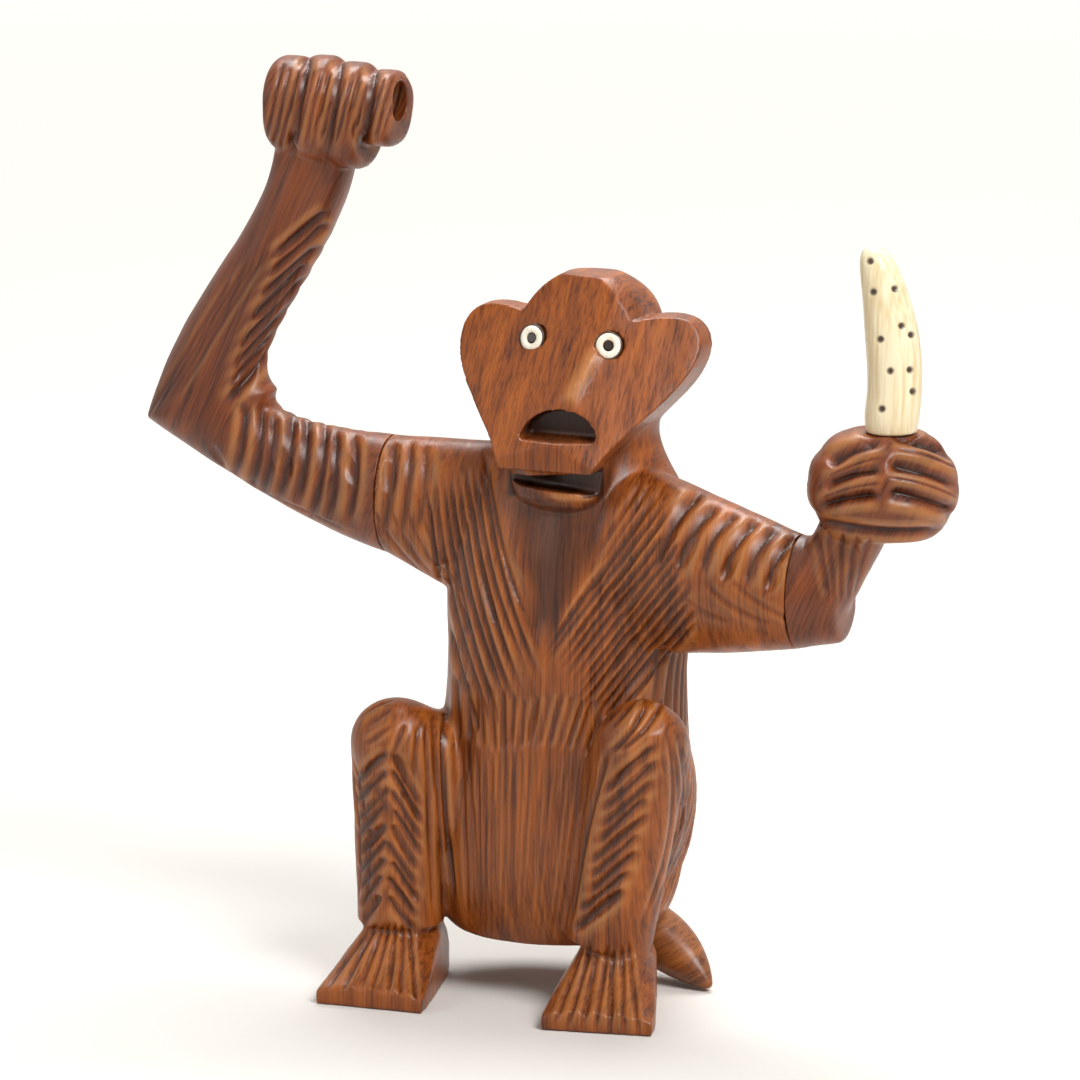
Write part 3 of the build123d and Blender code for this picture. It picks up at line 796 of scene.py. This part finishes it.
FIST_FAMILIES = (
    # Fingers of the left fist, two sets that rise to the middle and meet in a zigzag
    Strokes((55, 85.4, 65.2, 82), (53.6, 76.6, 65.4, 73.2), 3, 3.3, 1.6, 0.6, wander=0.3),
    Strokes((45.4, 81.2, 53.2, 84.6), (43.8, 74.6, 52.8, 76.2), 3, 2.9, 1.4, 0.5, wander=0.3),
    Strokes((43.6, 72.4, 63, 71.2), (43.6, 72.4, 63, 71.2), 1, 2.6, 1.1, -1, wander=0),
    Strokes((55, 83.4, 65, 80), (54.2, 78.9, 65.2, 75.6), 2, 0.9, 0.28, 0.5),
    Strokes((45, 79, 53, 82), (44.4, 76, 53, 78), 2, 0.9, 0.28, 0.4),
    Strokes((-45, 77, -67, 80.6), (-47, 86, -66, 88.4), 3, 2.7, 0.8, 0.8, wander=0.6, view=BACK),
    # Forearm below it
    Strokes((43.6, 71, 45.6, 60.4), (51.4, 70, 49.6, 61), 5, 1.5, 0.35),
    Strokes((-46, 74, -46, 62), (-54, 74, -52, 64), 5, 1.7, 0.45, view=BACK),
)


@dataclass(frozen=True)
class Opening:
    """A hollow of the face that gets painted shade, by its middle and half its size from the front."""

    middle_mm: Pair
    half_mm: Pair
    # Between these distances from the slope that it is measured from, the painted shade changes
    edge_mm: Pair

    def holds(self, across: np.ndarray, height: np.ndarray) -> np.ndarray:
        """Says which points lie within the opening."""
        beside = abs(across - self.middle_mm[0]) < self.half_mm[0]
        return beside & (abs(height - self.middle_mm[1]) < self.half_mm[1])


@dataclass(frozen=True)
class Throat:
    """The hollow under the chin, darkened with painted shade, which narrows down to the V of the chest."""

    # Half its width at its foot, how much that grows, and between which heights
    narrow_mm: float = 1.6
    growth_mm: float = 8.4
    growth_height_mm: Pair = (54.0, 76.0)
    # Where its middle is at one height, and how far it moves aside with each millimetre up
    middle_mm: Pair = (3.6, 57.0)
    lean: float = 0.12
    edge: Pair = (0.45, 1.1)
    foot_mm: Pair = (50.0, 60.0)
    top_mm: float = 84.0
    nearest_mm: float = 10.0
    farthest_mm: Pair = (22.8, 23.8)
    strength: float = 0.72

    def shade(self, across: np.ndarray, height: np.ndarray, near: np.ndarray) -> np.ndarray:
        """Says how dark the painted shade on each point is, by its place across, its height and its
        nearness.
        """
        half = self.narrow_mm + self.growth_mm * smooth_step(height, *self.growth_height_mm)
        middle = self.middle_mm[0] + self.lean * (height - self.middle_mm[1])
        inside = 1.0 - smooth_step(abs(across - middle) / half, *self.edge)
        inside = inside * smooth_step(height, *self.foot_mm) * (height < self.top_mm)
        inside = inside * (near > self.nearest_mm)
        return self.strength * inside * (1.0 - smooth_step(near, *self.farthest_mm))


@dataclass
class Trunk(CarvedPiece):
    """Head, torso, left upper arm, legs and feet, one block."""

    head_height_mm: float = 77.0
    face_middle_mm: float = 6.2
    face_half_mm: float = 21.0
    face_back_mm: float = 14.0
    joint_reach_mm: float = 43.0
    shoulder_reach_mm: float = 24.0
    shoulder_height_mm: float = 38.5
    # Level hollows in the armpits, which get more easing too
    plugs: tuple[Line, ...] = (
        (12.0, 62.6, 21.9, 1.5), (12.7, 64.4, 22.4, 1.6), (13.3, 66.2, 22.9, 1.5), (12.9, 58.4, 20.2, 1.9),
        (12.7, 56.6, 19.5, 1.9), (17.2, 55.6, 18.9, 1.9), (17.9, 55.8, 20.4, 1.6), (16.8, 56.0, 19.9, 1.5),
        (18.4, 54.2, 18.5, 1.7), (-13.1, 67.6, 6.4, 1.8), (-12.8, 66.3, 6.0, 1.6), (-11.6, 64.4, 7.2, 1.6),
    )
    plug_ease_mm: float = 3.8
    plug_rounds: int = 90
    body_rounds: int = 18
    head_rounds: int = 12
    face_rounds: int = 3
    # Slopes of the two sides of the face, towards the front, from where they meet at the nostril
    sides_meet_mm: Pair = (5.3, 88.0)
    left_side: Triple = (25.8, 0.62, -0.53)
    right_side: Triple = (25.8, 0.05, -0.31)
    # Nearness of the mouth's floor, and how it grows across
    mouth_floor: Pair = (19.0, 0.42)
    muzzle_near_mm: float = 14.0
    nostril: Opening = Opening((5.6, 87.0), (7.0, 3.6), (0.5, 1.8))
    mouth: Opening = Opening((4.8, 78.4), (7.2, 2.2), (0.5, 2.0))
    # The nostril's lit floor gets less painted shade than its roof, and the painted shade grows between
    # these heights
    nostril_light: float = 0.45
    nostril_darker_mm: Pair = (84.2, 86.8)
    throat: Throat = Throat()
    # The nose ridge and the lower lip are raised and lightened with painted highlight
    nose_ridge: Line = (10.9, 98.4, 6.2, 89.9)
    nose_bead: Bead = Bead(1.6, 0.75)
    lower_lip: Line = (-2.4, 76.6, 11.6, 75.8)
    lip_bead: Bead = Bead(0.8, 0.25)

    def rounds(self, points: np.ndarray) -> np.ndarray:
        """Keeps the face and the arm joints crisp and rounds the rest.

        Args:
            points: the points, in millimetres from the middle of the feet.

        Returns:
            The number of rounds for each point.
        """
        x, y, z = points.T
        found = np.full(len(points), self.body_rounds)
        seen = points @ np.array(FRONT.axes()).T
        for plug in self.plugs:
            gap = np.linalg.norm(seen - np.array(plug[:3]), axis=1)
            found[gap < self.plug_ease_mm] = self.plug_rounds
        head = (z > self.head_height_mm) & (abs(x - self.face_middle_mm) < self.face_half_mm)
        found[head] = self.head_rounds
        found[head & (y < self.face_back_mm)] = self.face_rounds
        found[(x > self.joint_reach_mm) | (x < -self.shoulder_reach_mm) & (z > self.shoulder_height_mm)] = 0
        return found

    def details(self, carving: Carving) -> None:
        """Carves the nose ridge and the lip with painted highlight, and paints shade into the nostril, the
        mouth and the throat.
        """
        carving.ridge(FRONT, self.nose_ridge, self.nose_bead)
        carving.ridge(FRONT, self.lower_lip, self.lip_bead)
        across, height, near = (carving.points @ way for way in FRONT.axes())
        front = near > self.muzzle_near_mm
        meet_across, meet_height = self.sides_meet_mm
        sides = [
            level + slope * (across - meet_across) + rise * (height - meet_height)
            for level, slope, rise in (self.left_side, self.right_side)
        ]
        sunk = np.minimum(*sides) - near
        # Painted shade in the nostril, less on its lit floor
        nostril = front & self.nostril.holds(across, height)
        darker = smooth_step(height, *self.nostril_darker_mm)
        darker = self.nostril_light + (1.0 - self.nostril_light) * darker
        carving.darken(nostril * darker * smooth_step(sunk, *self.nostril.edge_mm))
        # Painted shade in the mouth, strongest near its floor
        floor, slope = self.mouth_floor
        raised = near - floor - slope * across
        mouth = front & self.mouth.holds(across, height)
        carving.darken(mouth * (1.0 - smooth_step(raised, *self.mouth.edge_mm)))
        # Painted shade in the throat
        carving.darken(self.throat.shade(across, height, near))


@dataclass
class RaisedArm(CarvedPiece):
    """The raised arm with its fist."""

    joint_reach_mm: float = 27.0
    fist_height_mm: float = 126.0
    arm_rounds: int = 30
    fist_rounds: int = 44
    bore_rounds: int = 2
    # The bore's place in the frame, its tilt, and how far from its middle the wood stays crisp
    bore_mm: Triple = (-34.6, 3.7, 134.6)
    bore_tilt: float = 12.0
    bore_radius_mm: float = 3.6

    def rounds(self, points: np.ndarray) -> np.ndarray:
        """Keeps the joint and the bore crisp and rounds the rest.

        Args:
            points: the points, in millimetres from the middle of the feet.

        Returns:
            The number of rounds for each point.
        """
        x, _, z = points.T
        found = np.where(z > self.fist_height_mm, self.fist_rounds, self.arm_rounds)
        found[(x > -self.joint_reach_mm) & (z < self.fist_height_mm)] = 0
        tilt = math.radians(self.bore_tilt)
        way = np.array((math.cos(tilt), 0.0, math.sin(tilt)))
        away = points - (np.array(self.bore_mm) - FEET_MIDDLE_MM)
        gap = np.linalg.norm(away - np.outer(away @ way, way), axis=1)
        found[gap < self.bore_radius_mm] = self.bore_rounds
        return found


@dataclass
class LeftForearm(CarvedPiece):
    """Elbow, wrist and the fist that holds the banana, its fingers in two sets that meet in a zigzag."""

    joint_reach_mm: float = 46.0
    fist_rounds: int = 120
    # The peg is found from this much of the banana's foot, and the wood round it stays as it is
    peg_height_mm: float = 3.0
    peg_room_mm: float = 0.9
    # The ball that the fist is rounded to, and the peg's place to the side of its middle
    ball_middle_mm: Triple = (57.4, 1.0, 84.0)
    ball_radii_mm: Triple = (11.6, 10.2, 9.8)
    ball_share: float = 0.82
    ball_edge: Pair = (1.15, 1.4)
    least_reach: float = 0.3
    peg_shift_mm: float = 1.3
    peg_edge_mm: Pair = (4.0, 6.4)

    def rounds(self, points: np.ndarray) -> np.ndarray:
        """Keeps the joint and the bore crisp and makes the fist a rounded lump.

        Args:
            points: the points, in millimetres from the middle of the feet.

        Returns:
            The number of rounds for each point.
        """
        banana = read(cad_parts["banana"].data) / MM - FEET_MIDDLE_MM
        peg = banana[banana[:, 2] < banana[:, 2].min() + self.peg_height_mm][:, :2]
        middle = (peg.min(axis=0) + peg.max(axis=0)) / 2
        radius = (peg.max(axis=0) - peg.min(axis=0)).max() / 2
        found = np.full(len(points), self.fist_rounds)
        found[np.linalg.norm(points[:, :2] - middle, axis=1) < radius + self.peg_room_mm] = 0
        found[points[:, 0] < self.joint_reach_mm] = 0
        return found

    def ease(self, piece: Object) -> None:
        """Smooths the piece, then rounds the fist to a ball, all but the wood round the peg."""
        super().ease(piece)
        carving = Carving(piece)
        away = carving.points - np.array(self.ball_middle_mm)
        reach = np.linalg.norm(away / np.array(self.ball_radii_mm), axis=1)
        reach = np.maximum(reach, self.least_reach)
        across = np.linalg.norm(away[:, :2] - np.array((self.peg_shift_mm, 0.0)), axis=1)
        share = self.ball_share * smooth_step(across, *self.peg_edge_mm)
        share = share * (1.0 - smooth_step(reach, *self.ball_edge))
        carving.points += (away / reach[:, None] - away) * share[:, None]
        carving.place()


@dataclass
class Banana(Piece):
    """The bone banana, whittled with shallow flats and dotted with drilled spots."""

    voxel_mm: float = 0.22
    dot: Drill = Drill(0.62, 0.30)
    dots_mm: tuple[Pair, ...] = (
        (51.3, 111.0), (51.7, 106.4), (55.0, 106.9), (52.8, 99.4), (56.0, 101.4),
        (57.5, 100.1), (54.3, 94.7), (57.3, 94.9), (53.1, 89.1), (57.8, 91.7),
    )

    def build(self) -> Object:
        """Builds and dresses the banana, with every other dot on its back too."""
        piece = skin(self.name, self.node, self.voxel_mm)
        carving = Carving(piece)
        for place in self.dots_mm:
            carving.dimple(FRONT, place, self.dot)
        for across, height in self.dots_mm[::2]:
            carving.dimple(FRONT_REVERSE, (-across, height), self.dot)
        carving.finish()
        return self.dress(piece)


@dataclass
class EyeRing(Piece):
    """A bone ring with a rounded face, standing a little proud of the wood in a dark line of glue, painted
    as the shade of the gap round it.
    """

    # Radius and height over the wood, from the pupil outwards
    bone_mm: tuple[Pair, ...] = (
        (0.86, -0.60), (0.86, 0.10), (0.96, 0.24), (1.35, 0.32), (1.70, 0.24), (1.88, 0.06),
    )
    # The dark band round the bone: glue, painted dark as the shade of the gap
    glue_and_gap_shade_mm: tuple[Pair, ...] = ((1.92, 0.03), (2.12, 0.02), (2.16, -0.10), (2.16, -0.60))
    glue_and_gap_shade_margin_mm: float = 0.01
    steps: int = 48

    def build(self) -> Object:
        """Builds and dresses the ring.

        Returns:
            The finished object.
        """
        points = read(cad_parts[self.node].data)
        middle = (points.min(axis=0) + points.max(axis=0)) / 2
        axis = np.linalg.svd(points - points.mean(axis=0), full_matrices=False)[2][2]
        axis = -axis if axis[1] > 0.0 else axis
        front = middle + axis * ((points - middle) @ axis).max()
        shape = bmesh.new()
        rim = [shape.verts.new((r * MM, 0.0, h * MM)) for r, h in self.bone_mm + self.glue_and_gap_shade_mm]
        edges = [shape.edges.new(pair) for pair in zip(rim, rim[1:] + rim[:1])]
        upward = (0.0, 0.0, 1.0)
        bmesh.ops.spin(
            shape, geom=rim + edges, axis=upward, angle=math.tau, steps=self.steps, use_merge=True
        )
        bmesh.ops.remove_doubles(shape, verts=shape.verts, dist=WELD_MM * MM)
        bmesh.ops.recalc_face_normals(shape, faces=shape.faces)
        shade = shape.verts.layers.float.new(SPOTS_AND_PAINTED_LIGHT)
        for point in shape.verts:
            reach = math.hypot(point.co.x, point.co.y) / MM
            # The glue line gets the bone's dark colour as painted shade of the gap
            point[shade] = 1.0 if reach > self.glue_and_gap_shade_mm[0][0] - self.glue_and_gap_shade_margin_mm else PLAIN
        turn = Vector(upward).rotation_difference(Vector(axis)).to_matrix()
        bmesh.ops.rotate(shape, verts=shape.verts, cent=(0.0, 0.0, 0.0), matrix=turn)
        bmesh.ops.translate(shape, verts=shape.verts, vec=Vector(front))
        return self.dress(link_shape(self.name, shape))


# Sanded flats of the block are orange brown, with darker streaks
# The last colour of each wood is its painted shade in the hollows
BODY_WOOD = WoodFinish("waxed_rosewood", "#9e5318", "#70340f", "#431b08", "#180502")
# The arms come from a redder billet
ARM_WOOD = WoodFinish(
    "waxed_rosewood_red", "#85421b", "#5d2a12", "#39170a", "#170503", grain=Grain.ALONG_FOREARM
)
TAIL_WOOD = WoodFinish(
    "sanded_rosewood", "#a0602e", "#7a431f", "#562b15", "#2a0e07", grain=Grain.ALONG_TAIL, wax=0.2
)
BANANA_BONE = BoneFinish("polished_bone", "#f2e3c0", "#dcc596", "#3c2413")
# The eye bone's dark colour is painted on the glue line round each ring, as the shade of its gap
EYE_BONE = BoneFinish("eye_bone", "#f7f1e2", "#ebe0c6", "#3c2413")
PUPIL_HORN = BoneFinish("pupil_horn", "#2a1c10", "#1b120a", "#1b120a", roughness=0.25)


@dataclass
class Inlays:
    """The pupils and what is hidden in the joints, which keep their CAD shapes."""

    pupils: tuple[str, ...] = ("pupil_left", "pupil_right")
    dowels: tuple[str, ...] = ("shoulder_dowel", "elbow_dowel")

    def build(self) -> None:
        """Gives each CAD node that stays its material."""
        for names, finish in ((self.pupils, PUPIL_HORN), (self.dowels, TAIL_WOOD)):
            material = finish.material()
            for name in names:
                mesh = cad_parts[name].data
                mesh.materials.clear()
                mesh.materials.append(material)
                log.info("%s: %s", name, finish.name)


@dataclass
class Studio:
    """Pale floor, soft lamps and the camera at the photographed angle."""

    floor_size: float = 8.0
    floor_colour: str = "#dedbd6"
    floor_roughness: float = 0.9
    # From here to there the floor fades to the background, and how bright it gets
    fade: Pair = (0.25, 1.3)
    fade_strength: float = 0.80
    aim_mm: Triple = (0.0, 0.0, 71.0)
    distance: float = 1.18
    lens_mm: float = 258.0
    sensor_mm: float = 36.0
    # Name, turn, height, distance, size, power in watts
    lamps: tuple[tuple[str, float, float, float, float, float], ...] = (
        ("key", 58.0, 46.0, 0.90, 0.40, 7.5),
        ("top", 195.0, 64.0, 0.80, 0.45, 7.0),
        ("fill", -45.0, 20.0, 1.10, 0.80, 2.0),
    )
    # Strength of the even light from the sky, and of the background as it is seen
    sky: float = 0.27
    background: float = 0.92

    def aim(self, holder: Object, view: View, distance: float) -> None:
        """Places a lamp or the camera and turns it to the figure.

        Args:
            holder: the object that holds it.
            view: the side of the figure that it stands on.
            distance: distance from the figure's middle.
        """
        middle = Vector(self.aim_mm) * MM
        holder.location = middle + Vector(view.axes()[2]) * distance
        away = holder.location - middle
        holder.rotation_euler = away.to_track_quat("Z", "Y").to_euler()
        bpy.context.scene.collection.objects.link(holder)

    def floor(self) -> None:
        """Lays the floor, which fades to the background where the camera sees it from afar."""
        shape = bmesh.new()
        bmesh.ops.create_grid(shape, x_segments=1, y_segments=1, size=self.floor_size / 2)
        floor = link_shape("floor", shape)
        material, shader = new_material("pale_floor")
        shader.inputs["Base Color"].default_value = linear(self.floor_colour)
        shader.inputs["Roughness"].default_value = self.floor_roughness
        tree = material.node_tree
        place = add_node(tree, "ShaderNodeTexCoord", {}, {}).outputs["Object"]
        away = add_node(tree, "ShaderNodeVectorMath", {"operation": "LENGTH"}, {0: place}).outputs["Value"]
        settings = {"interpolation_type": "SMOOTHSTEP", **mapped(self.fade, (0.0, self.fade_strength))}
        glow = add_node(tree, "ShaderNodeMapRange", settings, {"Value": away}).outputs["Result"]
        path = add_node(tree, "ShaderNodeLightPath", {}, {}).outputs["Is Camera Ray"]
        shown = add_node(tree, "ShaderNodeMath", {"operation": "MULTIPLY"}, {0: glow, 1: path})
        shader.inputs["Emission Color"].default_value = linear(BACKGROUND)
        tree.links.new(shown.outputs["Value"], shader.inputs["Emission Strength"])
        floor.data.materials.append(material)

    def light(self) -> None:
        """Places the lamps and the even sky."""
        for name, azimuth, elevation, distance, size, power in self.lamps:
            lamp = bpy.data.lights.new(name, "AREA")
            lamp.size = size
            lamp.energy = power
            self.aim(bpy.data.objects.new(name, lamp), View(azimuth, elevation), distance)
        world = bpy.data.worlds.new("studio")
        world.use_nodes = True
        tree = world.node_tree
        background = next(n for n in tree.nodes if n.type == "BACKGROUND")
        background.inputs["Color"].default_value = linear(BACKGROUND)
        path = add_node(tree, "ShaderNodeLightPath", {}, {}).outputs
        seen = path["Is Camera Ray"]
        for kind in ("Is Glossy Ray", "Is Transmission Ray"):
            either = add_node(tree, "ShaderNodeMath", {"operation": "MAXIMUM"}, {0: seen, 1: path[kind]})
            seen = either.outputs["Value"]
        settings = mapped((0.0, 1.0), (self.sky, self.background))
        strength = add_node(tree, "ShaderNodeMapRange", settings, {"Value": seen}).outputs["Result"]
        tree.links.new(strength, background.inputs["Strength"])
        bpy.context.scene.world = world

    def camera(self) -> None:
        """Places the camera."""
        lens = bpy.data.cameras.new("camera")
        lens.lens = self.lens_mm
        lens.sensor_width = self.sensor_mm
        holder = bpy.data.objects.new("camera", lens)
        self.aim(holder, FRONT, self.distance)
        bpy.context.scene.camera = holder

    def build(self) -> None:
        """Sets up floor, lamps and camera."""
        self.floor()
        self.light()
        self.camera()


def main() -> None:
    """Builds every piece in order."""
    bpy.context.scene.view_settings.view_transform = "Standard"
    block = ("figure", "rosewood_body")
    billet = ("figure", "rosewood_arm")
    pieces = (
        Trunk("trunk", "body", *block, BODY_WOOD, 0.30, seed=3, families=TRUNK_FAMILIES),
        RaisedArm("raised_arm", "right_arm", *billet, ARM_WOOD, 0.24, seed=5, families=ARM_FAMILIES),
        LeftForearm("left_fist", "left_forearm", *billet, ARM_WOOD, 0.22, seed=7, families=FIST_FAMILIES),
        CarvedPiece("tail_peg", "tail", *block, TAIL_WOOD, 0.30, seed=9),
        Banana("banana_bone", "banana", "banana", "banana_wood", BANANA_BONE),
        EyeRing("eye_ring_left_bone", "eye_ring_left", "figure", "bone", EYE_BONE),
        EyeRing("eye_ring_right_bone", "eye_ring_right", "figure", "bone", EYE_BONE),
        Inlays(),
        Studio(),
    )
    for piece in pieces:
        piece.build()


if __name__ == "__main__":
    logging.basicConfig(level=logging.INFO, format="%(message)s")
    main()
